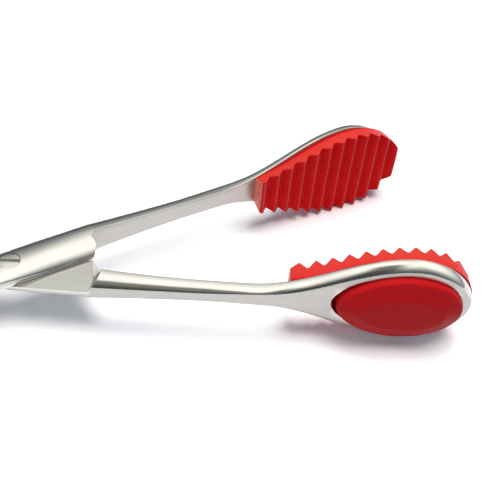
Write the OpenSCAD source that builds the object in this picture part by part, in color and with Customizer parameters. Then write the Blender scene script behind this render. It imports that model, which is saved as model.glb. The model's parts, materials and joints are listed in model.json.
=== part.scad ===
// Spring loaded tongs with crossing arms, a slotted lap-joint screw,
// two leaf springs and a pair of ridged rubber jaw pads.
// Millimetres. The tongs lie on their side with +X towards the jaws and +Z up,
// and the origin is on the table under the middle of the whole tool.
//
// Each arm is drawn in its own frame: the pivot at the origin, x along the
// closed arm, y outwards at the jaw, z up. Both arms share one shape, and the
// right one is turned over about x, so its lap takes the lower half.

/* [Arms] */
// Length from the pivot to the tip of the jaw
jaw_length = 75.1; // [74.6:0.1:78]
// Length from the pivot to the end of the handle
handle_length = 97; // [85:1:120]
// Angle of each arm from the middle when the springs hold the jaws open
open_angle = 12.5; // [8:0.1:16]
// Thickness of the flattened jaw ring and its web
ring_thickness = 2.15; // [1.8:0.05:3]
// Width of the jaw ring at its widest
ring_width = 17.5; // [16.8:0.1:19]
// Width of the slim bar at its waist, between the joint and the ring
bar_waist = 3.3; // [2.6:0.1:4.5]
// Thickness of each handle along its grip
handle_thickness = 3; // [2.4:0.1:4]
// Width of each handle along its grip
handle_width = 10.4; // [8.5:0.1:14]
// Gap between the two handles when the jaws are shut
handle_gap = 16.4; // [14:0.2:24]

/* [Joint] */
// Thickness of the joint through both laps
joint_thickness = 4.4; // [4:0.1:6]
// Width of the joint at the pivot
joint_width = 7.2; // [6.8:0.1:8.6]
// Radius round the pivot at which the laps end and the full arms start
lap_radius = 13.4; // [12.6:0.1:14.6]
// Diameter of the head of the joint screw
screw_head = 3.4; // [3:0.1:4.2]
// Diameter of the plain shank of the joint screw
screw_shank = 2.4; // [1.8:0.1:2.8]
// Radial clearance of the joint screw in the arm that turns on it
running_clearance = 0.05; // [0.02:0.01:0.09]

/* [Jaw pads] */
// Distance between neighbouring ridges
ridge_pitch = 2.6; // [2:0.1:3]
// Depth of the grooves between the ridges
groove_depth = 1.15; // [0.8:0.05:1.4]
// Number of ridges on each pad
ridge_count = 12; // [8:1:12]
// Thickness of the pad in front of the jaw ring
pad_thickness = 2.8; // [2.4:0.1:3.6]
// Shift of a pad's outline against its ridges: outwards on the left, inwards on the right
pad_shift = 0.45; // [0:0.05:0.6]
// How far the back of the pad stands out behind the ring
dome_height = 2.4; // [1:0.1:3.2]
// Clearance between the pad and the window of the ring
pad_clearance = 0.12; // [0.05:0.01:0.3]

/* [Springs] */
// Thickness of the spring leaves
leaf_thickness = 0.8; // [0.5:0.1:1.2]
// Width of the spring leaves
leaf_width = 6.4; // [5:0.1:8]
// Distance from the pivot to the point where the two leaves cross
leaf_reach = 30; // [26:1:40]
// Diameter of the screws that hold the leaves
leaf_screw = 2; // [1.6:0.1:2.4]

/* [Hidden] */
$fn = 64;

steel = [0.74, 0.74, 0.72];
spring_steel = [0.66, 0.67, 0.68];
red_rubber = [0.86, 0.13, 0.12];

// Joint: gap between the laps, what the round lap ends keep from the full arms,
// the ramp up to the full arm, and the step where the slim bar starts
lap_gap = 0.08;
lap_end_clearance = 0.3;
lap_ramp = 1.3;
step_length = 0.3;
lap_start = lap_radius + 0.6;
lap_end = lap_start + step_length;
lap_inner_side = 2.6;
lap_edge_flat = 1.5;
thin_edge = 0.15;

// Jaw: the pads' ridges meet on the middle plane, less half of this gap
shut_gap = 0.3;
crest_y = shut_gap / 2;
seat_y = crest_y + pad_thickness;
ring_start = 46.8;
ring_middle = 64.2;
seat_slope = 0.018;
ring_half = ring_width / 2;
bar_half = bar_waist / 2;
bar_root_growth = 1.9;
bar_root_thickness = 4.7;
inner_power = 1.65;
taper_power = 2.4;
flat_root_growth = 0.25;
waist_x = 35;
ring_flare = 38.8;
land_start = 43;
flat_waist = 0.65;
web_start = 31;
web_slope = 0.057;
bevel = 1.7;
tip_bevel = 0.9;
drop_power = 1.85;

// Window of the jaw ring, kept inside its outer flat. Its widest place lies a little
// nearer the joint than the ring's.
window_lead = 0.9;
window_middle = ring_middle - window_lead;
rim_land = 0.6;
window_half = ring_half - bevel - rim_land;
window_start = 51.9;
rim_at_tip = 1.2;
window_end = jaw_length - tip_bevel - rim_at_tip;

// Pad outline at its ridges and at its seat, and the relief at its heel
pad_heel = 45.4;
pad_overhang = 0.55;
pad_tip = jaw_length + pad_overhang;
first_ridge = 46.5;
heel_half_seat = 2.75;
heel_half_crest = 3.75;
heel_slope = 0.53;
pad_inset = 0.3;
pad_middle = 65;
seat_power = 2;
crest_power = 2;
groove_radius = 0.3;
heel_relief = 0.6;
lip = 0.2;

// Handle
handle_start = 55;
handle_flat = 3.2;
handle_waist = 2.3;
handle_root_thickness = 3.4;
handle_inner = handle_gap / 2;

// Spring leaves, measured along the handle from the pivot
leaf_root = 88;
leaf_screw_x = 82;
leaf_free = 76;
leaf_tip_over = 3;
leaf_tip_slope = 7;
fork_depth = 4;
fork_clearance = 0.35;
tongue_width = 2.2;
leaf_tip_width = 5;
leaf_screw_head = 3.8;
leaf_screw_head_height = 1.2;
slot_width = 0.6;
slot_depth = 0.5;

// Joint screw: ground a little below the crest of the dome, with a thread that is
// thinner than its shank
head_sink = 0.12;
head_height = 1.2;
thread_step = 0.1;
screw_top = joint_thickness / 2 - head_sink;
head_seat = screw_top - head_height;
thread_radius = screw_shank / 2 - thread_step;

flank_steps = 5;
overlap = 0.01;

// Place of the pivot above the table and along the middle of the whole tool
tip_corner = [pad_tip + pad_shift, crest_y + groove_depth];
handle_corner = [handle_length, handle_inner + handle_thickness];
jaw_reach = tip_corner[0] * cos(open_angle) - tip_corner[1] * sin(open_angle);
handle_reach = handle_corner[0] * cos(open_angle) - handle_corner[1] * sin(open_angle);
pivot = [(handle_reach - jaw_reach) / 2, 0, max(ring_half, handle_width / 2)];

function mix(a, b, u) = a + (b - a) * u;
function clamp(u) = min(1, max(0, u));
// Half a cosine wave, from 0 at 0 to 1 at 1
function ease(u) = (1 - cos(180 * clamp(u))) / 2;

// ---- Sizes along the jaw bar, for x from the joint to the ring's middle ----

function bar_inner(x) =
    seat_y * (1 - pow(1 - min(x, ring_start) / ring_start, inner_power)) + seat_rise(x);
// The ring leans outwards a little, so its pad is thicker towards the tip
function seat_rise(x) = seat_slope * max(0, x - ring_start);
function bar_thick(x) =
    mix(ring_thickness, bar_root_thickness,
        pow(1 - min(x, ring_start) / ring_start, taper_power));
// Half width of the inner face: tapers to the waist, then opens into the ring
function inner_half(x) =
    bar_half + bar_root_growth * pow(max(0, waist_x - x) / waist_x, 2)
    + (ring_half - bar_half) * ease((x - ring_flare) / (ring_middle - ring_flare));
// Half width of the outer flat: widens into the web, then into the ring's land
function outer_half(x) =
    let (web = flat_waist + web_slope * max(0, x - web_start))
    let (web_end = flat_waist + web_slope * (ring_middle - web_start))
    web + (ring_half - bevel - web_end) * ease((x - land_start) / (ring_middle - land_start))
    + flat_root_growth * pow(max(0, web_start - x) / web_start, 2);

// ---- Sizes along the handle, for d from the joint to the end ----

function handle_in(d) =
    mix(bar_inner(lap_end), handle_inner, ease((d - lap_end) / (handle_start - lap_end)));
function handle_thick(d) =
    mix(handle_root_thickness, handle_thickness, ease(d / handle_start));
function handle_half(d) =
    mix(handle_waist, handle_width / 2, ease((d - lap_end) / (handle_start - lap_end)));
function handle_outer_half(d) =
    mix(lap_edge_flat, handle_flat, ease((d - lap_end) / (handle_start - lap_end)));

// ---- Cross-sections of an arm ----
// The top runs from the foot of side A over the crest to the foot of side B.
// Each flank is a quarter of an ellipse. The bottom mirrors the top.

function flank(side, crest, n) = [for (k = [0:n]) let (a = 90 * k / n)
    [mix(side[0], crest[0], 1 - cos(a)), mix(side[1], crest[1], sin(a))]];

function ring_of(x, side_a, crest, side_b) =
    let (a = flank(side_a, crest, flank_steps))
    let (b = flank(side_b, crest, flank_steps))
    let (top = concat(a, [for (k = [flank_steps - 1:-1:0]) b[k]]))
    let (last = len(top) - 1)
    concat([for (p = top) [x, p[0], p[1]]],
           [for (k = [last:-1:0]) [x, top[k][0], -top[k][1]]]);

// Jaw bar: the outer flank is side A, and side B is the flat inner face
function bar_section(x) =
    let (y = bar_inner(x), h = inner_half(x))
    ring_of(x, [y + bar_thick(x), outer_half(x)], [y, h], [y, thin_edge]);

// Tip half of the ring: every level of the flank has its own drop shape
function tip_section(a) =
    let (inner = bar_section(ring_middle))
    [for (p = inner)
        let (level = clamp((p[1] - inner[2 * flank_steps][1]) / ring_thickness))
        let (tip = jaw_length - tip_bevel * (1 - sqrt(1 - level * level)))
        let (x = ring_middle + (tip - ring_middle) * pow(sin(a), 2 / drop_power))
        [x, p[1] + seat_rise(x) - seat_rise(ring_middle), p[2] * pow(cos(a), 2 / drop_power)]];

function handle_section(d) =
    let (y = handle_in(d), h = handle_half(d))
    ring_of(-d, [-y, thin_edge], [-y, h], [-y - handle_thick(d), handle_outer_half(d)]);

// Rounded end of the handle, a half ellipse in plan
function handle_end_section(a) =
    [for (p = handle_section(handle_length - handle_width / 2))
        [p[0] - handle_width / 2 * sin(a), p[1], p[2] * cos(a)]];

// Domed lap: its outer sides run on into the bar and the handle, and its inner
// sides close in a little towards the round ends
function lap_section(x) =
    let (s = x / lap_end)
    let (half = joint_width / 2)
    let (jaw_side = bar_inner(lap_end) + bar_thick(lap_end))
    let (handle_side = handle_in(lap_end) + handle_thick(lap_end))
    let (inner = mix(half, lap_inner_side, abs(s)))
    let (a = x >= 0 ? mix(half, jaw_side, s) : inner)
    let (b = x <= 0 ? mix(half, handle_side, -s) : inner)
    let (end_crest = x >= 0 ? inner_half(lap_end) : handle_half(lap_end))
    let (end_y = x >= 0 ? bar_inner(lap_end) : -handle_in(lap_end))
    let (crest = [mix(0, end_y, ease(abs(s))), mix(joint_thickness / 2, end_crest, s * s)])
    ring_of(x, [a, lap_edge(-x, outer_half(lap_end))], crest, [-b, lap_edge(x, lap_edge_flat)]);

// Half width of the flat on a lap's side, which dies out towards the inner end
function lap_edge(x, flat) = mix(flat, thin_edge, ease((x + 6) / 13));

// ---- Solid through a list of equal rings ----
// Each flat end is a fan of triangles that starts at the point given for it

module skin(rings, start_fan, end_fan) {
    n = len(rings[0]);
    last = len(rings) - 1;
    points = [for (r = rings) each r];
    sides = [for (i = [0:last - 1], k = [0:n - 1])
        let (a = i * n + k, b = i * n + (k + 1) % n)
        each [[a, b + n, b], [a, a + n, b + n]]];
    start = [for (k = [0:n - 1]) (start_fan + k) % n];
    end = [for (k = [0:n - 1]) last * n + (end_fan + n - k) % n];
    polyhedron(points, concat([start], sides, [end]), convexity = 8);
}

// ---- Drop outline in x and half width, from the heel to the tip ----

function drop_side(heel, heel_half, middle, half, tip, power, steps) = concat(
    [for (i = [0:steps]) let (u = i / steps)
        [mix(heel, middle, u), mix(heel_half, half, (ease(u) + sin(90 * u)) / 2)]],
    [for (i = [1:steps]) let (a = 88 * i / steps)
        [middle + (tip - middle) * pow(sin(a), 2 / power), half * pow(cos(a), 2 / power)]]);

function closed(side) = concat(side,
    [for (i = [len(side) - 1:-1:0]) [side[i][0], -side[i][1]]]);

// ---- Egg outline of the window and of what fits in it ----

function egg(start, end, half) =
    let (middle = window_middle, steps = 16)
    closed(concat(
        [for (i = [1:steps]) let (a = 90 * i / steps)
            [middle - (middle - start) * pow(cos(a), 2 / 1.8), half * pow(sin(a), 2 / 1.8)]],
        [for (i = [1:steps - 1]) let (a = 90 * i / steps)
            [middle + (end - middle) * sin(a), half * cos(a)]]));

// Prism of an x-z outline between two y planes
module through(outline, y0, y1) {
    translate([0, y1, 0]) rotate([90, 0, 0]) linear_extrude(y1 - y0) polygon(outline);
}

// ---- Placing ----

module place_left() {
    translate(pivot) rotate([0, 0, open_angle]) children();
}

module place_right() {
    translate(pivot) rotate([0, 0, -open_angle]) rotate([180, 0, 0]) children();
}

// ---- Arms ----

module arm_blank() {
    end_start = handle_length - handle_width / 2;
    skin(concat(
        [for (a = [86, 72, 56, 38, 20]) handle_end_section(a)],
        [for (i = [0:3]) handle_section(mix(end_start, handle_start, i / 3))],
        [for (i = [1:9]) handle_section(mix(handle_start, lap_end, i / 9))],
        [for (i = [0:12]) lap_section(mix(-lap_start, lap_start, i / 12))],
        [for (i = [0:9]) bar_section(mix(lap_end, ring_flare, i / 9))],
        [for (i = [1:12]) bar_section(mix(ring_flare, ring_middle, i / 12))],
        [for (a = [12, 24, 36, 47, 57, 66, 74, 81, 86.5]) tip_section(a)]),
        2 * flank_steps, 0);
}

// What lies past the round end of a lap on its inner side. The end leans out as
// it rises, like the ramp that it meets when the jaws are shut.
module past_lap_end() {
    tall = joint_thickness;
    end = lap_radius - lap_end_clearance;
    difference() {
        translate([joint_width, -2 * joint_width, -tall])
            cube([lap_end - joint_width, 2 * joint_width + bar_inner(lap_end), 2 * tall]);
        cylinder(h = 2 * tall, r1 = end, r2 = end + 4 * lap_ramp);
    }
}

// Left arm shape: its lap is the upper half of the joint
module arm_shape() {
    half = joint_thickness / 2;
    difference() {
        arm_blank();
        translate([0, 0, lap_gap / 2 - 2 * half])
            cylinder(h = 2 * half, r1 = lap_radius + 2 * lap_ramp, r2 = lap_radius);
        past_lap_end();
        rotate([0, 0, 180]) past_lap_end();
        through(egg(window_start, window_end, window_half),
                seat_y - 1, seat_y + ring_thickness + 1);
        translate([-leaf_screw_x, 0, 0]) rotate([90, 0, 0])
            cylinder(h = handle_inner + 2 * handle_thickness, r = leaf_screw / 2);
    }
}

module left_arm() {
    color(steel) place_left() difference() {
        arm_shape();
        cylinder(h = joint_thickness, r = screw_shank / 2 + running_clearance);
        translate([0, 0, head_seat - running_clearance])
            cylinder(h = joint_thickness, r = screw_head / 2 + running_clearance);
    }
}

module right_arm() {
    color(steel) place_right() difference() {
        arm_shape();
        cylinder(h = joint_thickness, r = thread_radius);
    }
}

// The screw turns with the right arm, where its thread holds
module pivot_screw() {
    color(steel) translate(pivot) rotate([0, 0, -open_angle]) difference() {
        union() {
            translate([0, 0, -screw_top])
                cylinder(h = screw_top + head_seat, r = thread_radius);
            translate([0, 0, -lap_gap / 2])
                cylinder(h = head_seat + lap_gap, r = screw_shank / 2);
            translate([0, 0, head_seat]) cylinder(h = head_height, r = screw_head / 2);
        }
        translate([-screw_head, -slot_width / 2, screw_top - slot_depth])
            cube([2 * screw_head, slot_width, 2 * slot_depth]);
    }
}

// ---- Pads ----

pad_half_crest = ring_half - pad_inset;
pad_half_seat = ring_half - 2 * pad_inset;

// Slab between the drop outline of the seat and the one of the ridges
module pad_slab(shift) {
    heel = pad_heel + shift;
    seat = closed(drop_side(heel, heel_half_seat, pad_middle, pad_half_seat,
                            pad_tip + shift, seat_power, 12));
    crest = closed(drop_side(heel, heel_half_crest, pad_middle, pad_half_crest,
                             pad_tip + shift, crest_power, 12));
    tip = len(seat) / 2;
    skin([[for (p = crest) [p[0], crest_y, p[1]]],
          [for (p = seat) [p[0], seat_y + seat_slope * (p[0] - ring_start), p[1]]]], tip, tip);
}

// Groove with straight flanks that touch its round bottom, open at the ridge plane
module groove() {
    half = ridge_pitch / 2;
    centre = groove_depth - groove_radius;
    lean = acos(groove_radius / norm([half, centre])) - atan2(centre, half);
    touch = groove_radius * [cos(lean), sin(lean)];
    translate([0, crest_y, 0]) linear_extrude(2 * ring_width, center = true) union() {
        translate([0, centre]) circle(r = groove_radius);
        polygon([[-half, 0], [half, 0], [touch[0], centre + touch[1]],
                 [-touch[0], centre + touch[1]]]);
        translate([-half, -1]) square([ridge_pitch, 1]);
    }
}

// What lies in front of the straight slope from the first ridge back to the heel
module heel_cut() {
    past = pad_heel - 1;
    linear_extrude(ring_width, center = true)
        polygon([[first_ridge, crest_y],
                 [past, crest_y + heel_slope * (first_ridge - past)],
                 [past, -1], [first_ridge, -1]]);
}

// Domed back: rings of the egg outline that close in as they rise
module pad_dome() {
    back = seat_y + ring_thickness;
    steps = [[0, 0], [0.35, 0.05], [0.55, 0.35], [0.75, 1], [0.88, 2], [1, 3.6]];
    skin([for (s = steps)
        let (edge = window_half + lip - s[1])
        [for (p = egg(window_start + heel_relief + s[1], window_end + lip - s[1], edge))
            [p[0], back + seat_rise(p[0]) + dome_height * s[0], p[1]]]], 0, 0);
}

module pad_shape(shift) {
    back = seat_y + ring_thickness;
    neck = window_half - pad_clearance;
    difference() {
        pad_slab(shift);
        for (i = [0:ridge_count - 1])
            translate([first_ridge + ridge_pitch * (i + 0.5), 0, 0]) groove();
        heel_cut();
    }
    through(egg(window_start + heel_relief + pad_clearance, window_end - pad_clearance, neck),
            seat_y - overlap, back + seat_rise(window_end) + overlap);
    pad_dome();
}

module left_pad() {
    color(red_rubber) place_left() pad_shape(pad_shift);
}

module right_pad() {
    color(red_rubber) place_right() pad_shape(-pad_shift);
}

// ---- Springs ----

// End of the free part of the leaf, on the middle plane when the jaws are open
leaf_cross = [-leaf_reach * cos(open_angle), leaf_reach * sin(open_angle)];
leaf_base = -handle_inner + leaf_thickness / 2;

// Cubic curve that leaves the handle flat and reaches the crossing at a slope
function leaf_point(u) =
    let (from = [-leaf_free, leaf_base])
    let (run = leaf_cross[0] - from[0])
    let (m0 = [run, 0], m1 = run * [1, tan(leaf_tip_slope)])
    (2 * u * u * u - 3 * u * u + 1) * from + (u * u * u - 2 * u * u + u) * m0
    + (3 * u * u - 2 * u * u * u) * leaf_cross + (u * u * u - u * u) * m1;

function leaf_line() = concat([[-leaf_root, leaf_base]],
    [for (i = [0:20]) leaf_point(i / 20)],
    [leaf_cross + leaf_tip_over * [cos(leaf_tip_slope), sin(leaf_tip_slope)]]);

// Both sides of a line at half the thickness, joined into one outline
function ribbon(line, thickness) =
    let (last = len(line) - 1)
    let (normals = [for (i = [0:last])
        let (d = line[min(last, i + 1)] - line[max(0, i - 1)])
        [-d[1], d[0]] / norm(d)])
    concat([for (i = [0:last]) line[i] + normals[i] * thickness / 2],
           [for (i = [last:-1:0]) line[i] - normals[i] * thickness / 2]);

// Leaf seen on its flat: straight root, taper to the tip, round root end
module leaf_plan(tip_width) {
    tip_x = leaf_cross[0] + leaf_tip_over * cos(leaf_tip_slope) + 1;
    neck_x = leaf_cross[0] - fork_depth;
    wide = leaf_width / 2;
    narrow = leaf_tip_width / 2;
    polygon([[-leaf_root - 1, -wide], [-leaf_free, -wide], [neck_x, -narrow],
             [neck_x, -tip_width / 2], [tip_x, -tip_width / 2],
             [tip_x, tip_width / 2], [neck_x, tip_width / 2],
             [neck_x, narrow], [-leaf_free, wide], [-leaf_root - 1, wide]]);
}

module leaf_shape(tip_width, fork_width) {
    deep = 60;
    difference() {
        intersection() {
            linear_extrude(leaf_width, center = true)
                polygon(ribbon(leaf_line(), leaf_thickness));
            translate([0, deep / 2, 0]) rotate([90, 0, 0])
                linear_extrude(deep) leaf_plan(tip_width);
        }
        if (fork_width > 0)
            translate([leaf_cross[0] - fork_depth, -deep / 2, -fork_width / 2])
                cube([2 * fork_depth + leaf_tip_over, deep, fork_width]);
        translate([-leaf_screw_x, 0, 0]) rotate([90, 0, 0])
            cylinder(h = 2 * handle_inner, r = leaf_screw / 2 + pad_clearance);
    }
}

module left_arm_spring() {
    color(spring_steel) place_left()
        leaf_shape(leaf_tip_width, tongue_width + 2 * fork_clearance);
}

module right_arm_spring() {
    color(spring_steel) place_right() leaf_shape(tongue_width, 0);
}

// Round-headed screw through the leaf into the handle
module leaf_screw_shape() {
    seat = -handle_inner + leaf_thickness;
    sphere_radius = leaf_screw_head * 0.62;
    translate([-leaf_screw_x, seat, 0]) rotate([-90, 0, 0]) difference() {
        union() {
            translate([0, 0, -leaf_thickness - handle_thickness + 0.3])
                cylinder(h = leaf_thickness + handle_thickness, r = leaf_screw / 2);
            intersection() {
                cylinder(h = leaf_screw_head_height, r = leaf_screw_head / 2);
                translate([0, 0, leaf_screw_head_height - sphere_radius])
                    sphere(r = sphere_radius);
            }
        }
        translate([-leaf_screw_head, -slot_width / 2, leaf_screw_head_height - slot_depth])
            cube([2 * leaf_screw_head, slot_width, 2 * slot_depth]);
    }
}

module left_arm_spring_screw() {
    color(steel) place_left() leaf_screw_shape();
}

module right_arm_spring_screw() {
    color(steel) place_right() leaf_screw_shape();
}

left_arm();
right_arm();
pivot_screw();
left_pad();
right_pad();
left_arm_spring();
right_arm_spring();
left_arm_spring_screw();
right_arm_spring_screw();
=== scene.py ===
import json
import math

import bmesh
import bpy
import numpy as np
from bpy.props import FloatProperty, FloatVectorProperty, IntProperty, PointerProperty
from mathutils import Matrix, Vector


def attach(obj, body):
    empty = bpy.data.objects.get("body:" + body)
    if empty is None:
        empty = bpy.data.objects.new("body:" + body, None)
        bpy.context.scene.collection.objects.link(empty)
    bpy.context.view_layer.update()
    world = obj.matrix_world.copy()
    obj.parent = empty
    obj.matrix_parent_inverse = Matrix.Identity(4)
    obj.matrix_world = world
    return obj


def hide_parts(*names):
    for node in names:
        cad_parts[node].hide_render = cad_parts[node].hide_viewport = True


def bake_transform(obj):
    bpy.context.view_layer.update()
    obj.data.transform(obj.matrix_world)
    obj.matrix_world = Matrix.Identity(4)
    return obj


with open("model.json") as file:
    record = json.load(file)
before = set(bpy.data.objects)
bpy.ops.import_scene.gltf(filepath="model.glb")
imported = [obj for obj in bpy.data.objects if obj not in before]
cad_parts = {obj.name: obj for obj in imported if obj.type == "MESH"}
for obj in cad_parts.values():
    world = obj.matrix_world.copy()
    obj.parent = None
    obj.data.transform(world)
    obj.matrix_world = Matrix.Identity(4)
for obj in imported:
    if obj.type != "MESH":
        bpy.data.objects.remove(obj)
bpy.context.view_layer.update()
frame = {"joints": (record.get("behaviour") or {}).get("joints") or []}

bl_info = {
    "name": "Spring loaded tongs",
    "version": (1, 0, 0),
    "blender": (4, 5, 0),
    "location": "View3D > Sidebar > Tongs",
    "description": "Finished pieces of lap-jointed tongs with ridged rubber jaw pads",
    "category": "Object",
}

HINGE = frame["joints"][0]
PIVOT = np.array(HINGE["pos_m"]) * 1000
OPEN_ANGLE = math.radians(HINGE["range_deg"][1] / 2)
MM = 0.001

# Sizes in millimetres, as in the solids. In an arm's own frame the pivot is the
# origin, x runs along the closed arm, y points outwards at the jaw and z up.
JAW_LENGTH = 75.1
HANDLE_LENGTH = 97
RING_THICKNESS = 2.15
RING_HALF = 17.5 / 2
BAR_HALF = 3.3 / 2
HANDLE_THICKNESS = 3
HANDLE_HALF = 10.4 / 2
HANDLE_INNER = 16.4 / 2
JOINT_THICKNESS = 4.4
JOINT_WIDTH = 7.2
LAP_RADIUS = 13.4
LAP_END_CLEARANCE = 0.3
LAP_GAP = 0.08
LAP_RAMP = 1.3
LAP_START = LAP_RADIUS + 0.6
LAP_END = LAP_START + 0.3
LAP_INNER_SIDE = 2.6
LAP_EDGE_FLAT = 1.5
THIN_EDGE = 0.15
LAP_FLAT_END, LAP_THIN_START = -6, 7
SCREW_HEAD = 3.4
SCREW_SHANK = 2.4
RUNNING_CLEARANCE = 0.05
RIDGE_PITCH = 2.6
GROOVE_DEPTH = 1.15
GROOVE_RADIUS = 0.3
CREST_Y = 0.15
SEAT_Y = 2.95
RING_START = 46.8
RING_MIDDLE = 64.2
SEAT_SLOPE = 0.018
BAR_ROOT_GROWTH = 1.9
BAR_ROOT_EXTRA = 2.55
INNER_POWER = 1.65
TAPER_POWER = 2.4
FLAT_ROOT_GROWTH = 0.25
WAIST_X = 35
RING_FLARE = 38.8
LAND_START = 43
FLAT_WAIST = 0.65
WEB_START = 31
WEB_SLOPE = 0.057
BEVEL = 1.7
TIP_BEVEL = 0.9
DROP_POWER = 1.85
WINDOW_LEAD = 0.9
WINDOW_MIDDLE = RING_MIDDLE - WINDOW_LEAD
RIM_LAND = 0.6
WINDOW_HALF = RING_HALF - BEVEL - RIM_LAND
WINDOW_START = 51.9
RIM_AT_TIP = 1.2
WINDOW_END = JAW_LENGTH - TIP_BEVEL - RIM_AT_TIP
WINDOW_POWER = 1.8
PAD_HEEL = 45.4
FIRST_RIDGE = 46.5
PAD_MIDDLE = 65
PAD_OVERHANG = 0.55
PAD_TIP = JAW_LENGTH + PAD_OVERHANG
PAD_INSET = 0.3
HEEL_HALF_SEAT = 2.75
HEEL_HALF_CREST = 3.75
HEEL_ROUND = 0.25
PAD_CORNER = 0.14
PAD_SHIFT = 0.45
PAD_CLEARANCE = 0.12
HEEL_RELIEF = 0.6
HEEL_SLOPE = 0.53
LIP = 0.2
DOME_HEIGHT = 2.4
HANDLE_START = 55
HANDLE_FLAT = 3.2
HANDLE_WAIST = 2.3
HANDLE_ROOT = 3.4
LEAF_THICKNESS = 0.8
LEAF_HALF = 6.4 / 2
LEAF_REACH = 30
LEAF_SCREW = 2
LEAF_ROOT = 88
LEAF_SCREW_X = 82
LEAF_FREE = 76
LEAF_TIP_OVER = 3
LEAF_TIP_SLOPE = math.radians(7)
LEAF_TIP_HALF = 2.5
FORK_DEPTH = 4
FORK_CLEARANCE = 0.35
TONGUE_HALF = 1.1
LEAF_HEAD = 3.8
LEAF_HEAD_HEIGHT = 1.2
LEAF_CROSS = LEAF_REACH * np.array([-math.cos(OPEN_ANGLE), math.sin(OPEN_ANGLE)])
LEAF_END_RUN = 0.9
LEAF_END_SHARE = 0.35
LEAF_TIP_RUN = 0.6
LEAF_FACE_POWER, LEAF_EDGE_POWER = 0.45, 0.25
LEAF_HEAD_SPHERE = LEAF_HEAD * 0.62
LEAF_SCREW_STOP = 0.3
LEAF_HEAD_EDGE = 0.1
SLOT_WIDTH = 0.6
SLOT_DEPTH = 0.5
HEAD_SINK = 0.12
HEAD_HEIGHT = 1.2
THREAD_STEP = 0.1
SCREW_TOP = JOINT_THICKNESS / 2 - HEAD_SINK
HEAD_SEAT = SCREW_TOP - HEAD_HEIGHT
THREAD_RADIUS = SCREW_SHANK / 2 - THREAD_STEP
THREAD_CHAMFER = 0.15
HEAD_EDGE = 0.12
CROWN_SINK = 0.03
BORE_FLOOR = -0.5

# Powers of a flank's superellipse: round, and flat with a small edge
ROUND, FLAT = 2, 8
# Points round a lathed part, a lap's end and a window
FINE, FINER, EGG_POINTS = 96, 256, 160
SHARP_ANGLE = math.radians(32)
SIDES = (("left", -OPEN_ANGLE), ("right", OPEN_ANGLE))

# Steel: grain along and across a piece per metre, and shares of its colour
SCRATCHES = (90, 3600, 3600)
CLOUDS = (120, 420, 420)
# Painted shade: the satin flats take these darker shares of the steel colour, standing in for
# the dimmer reflection they show; the scratches vary it between them.
SATIN_PAINTED_SHADES = (0.64, 0.74)
CLOUD_SHADE = 0.93
BORE_ROUGHER = 0.06
SCREW_COLOR = (0.66, 0.65, 0.62)
JOINT_SCREW_ROUGH, SPRING_SCREW_ROUGH, LEAF_ROUGH = 0.42, 0.25, 0.3
ARM_RELIEF, LEAF_RELIEF, RUBBER_RELIEF = 0.25, 0.06, 0.15
JOINT_SCREW_GRAIN = 0.6
RELIEF_DEPTH = 0.00002

# Lamps: name, place, size and colour, all facing a point on the jaws' side of the joint
LAMPS = (("key", (0.13, 0.03, 0.6), (0.5, 0.34), (1, 0.975, 0.95)),
         ("side", (-0.5, -0.25, 0.13), (0.3, 0.3), (0.88, 0.94, 1)))
LAMP_AIM = (0.03, 0, 0)
FILL_COLOR = (0.5, 0.7, 1, 1)

# Floor: half its width, its shade under the light and where it is seen, and the
# distances from the middle between which it fades to plain white
FLOOR_HALF = 0.9
FLOOR_SHADE, FLOOR_SEEN = (0.6, 0.6, 0.6), (1.2, 1.2, 1.2)
FLOOR_FADE = (0.17, 0.4)

# The tent's light, from its horizon to its top
TENT_BANDS = (
    (0.0, (0.03, 0.034, 0.032)), (0.14, (0.055, 0.064, 0.063)), (0.4, (0.15, 0.17, 0.17)),
    (0.6, (0.29, 0.31, 0.3)), (0.7, (0.46, 0.47, 0.44)), (0.8, (0.66, 0.66, 0.61)),
    (0.87, (0.87, 0.86, 0.8)), (0.94, (1.0, 0.985, 0.93)))
TENT_STRIP = (0.03, 0.033, 0.028)
TENT_POWER = 1.7
TENT_RADIUS = 600

# Camera: angles, width of its sensor and length of its lens in millimetres, and its
# place from the pivot along its own right, up and back, in ridge pitches
VIEW_AZIMUTH, VIEW_ELEVATION, VIEW_ROLL = (
    math.radians(angle) for angle in (-18.0357, 44.2402, 5.7987))
VIEW_RIGHT = (math.cos(VIEW_AZIMUTH), math.sin(VIEW_AZIMUTH), 0)
VIEW_FRONT = (math.sin(VIEW_AZIMUTH), -math.cos(VIEW_AZIMUTH), 0)
SENSOR = 36
LENS = 61.583747
VIEW_PLACE = (14.4887, 1.597, 51.8982)


# ---- Settings ----

def length_setting(name, description, default, low, high):
    """Setting for a small size in metres."""
    return FloatProperty(name=name, description=description, default=default, min=low,
                         max=high, unit="LENGTH", subtype="DISTANCE")


def share_setting(name, description, default):
    """Setting between 0 and 1."""
    return FloatProperty(name=name, description=description, default=default, min=0,
                         max=1, subtype="FACTOR")


def power_setting(name, description, default):
    """Setting for a lamp's power in watts."""
    return FloatProperty(name=name, description=description, default=default, min=0,
                         unit="POWER")


def color_setting(name, description, default):
    """Setting for a colour."""
    return FloatVectorProperty(name=name, description=description, default=default,
                               min=0, max=1, subtype="COLOR")


class TongsSizes(bpy.types.PropertyGroup):
    """Finishing sizes of the pieces"""
    edge_round: length_setting(
        "Arm edge", "Rounding where a flank meets a flat face", 0.0003, 0.0001, 0.0006)
    window_round: length_setting(
        "Window edge", "Rounding of the rim of the jaw window", 0.00035, 0.0001, 0.0005)
    ridge_round: length_setting(
        "Ridge crest", "Rounding of the crests of the pad ridges", 0.00012, 0.00004, 0.0003)
    flank_steps: IntProperty(
        name="Flank steps", description="Faces across each rounded flank of an arm",
        default=18, min=6, max=40)


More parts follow.
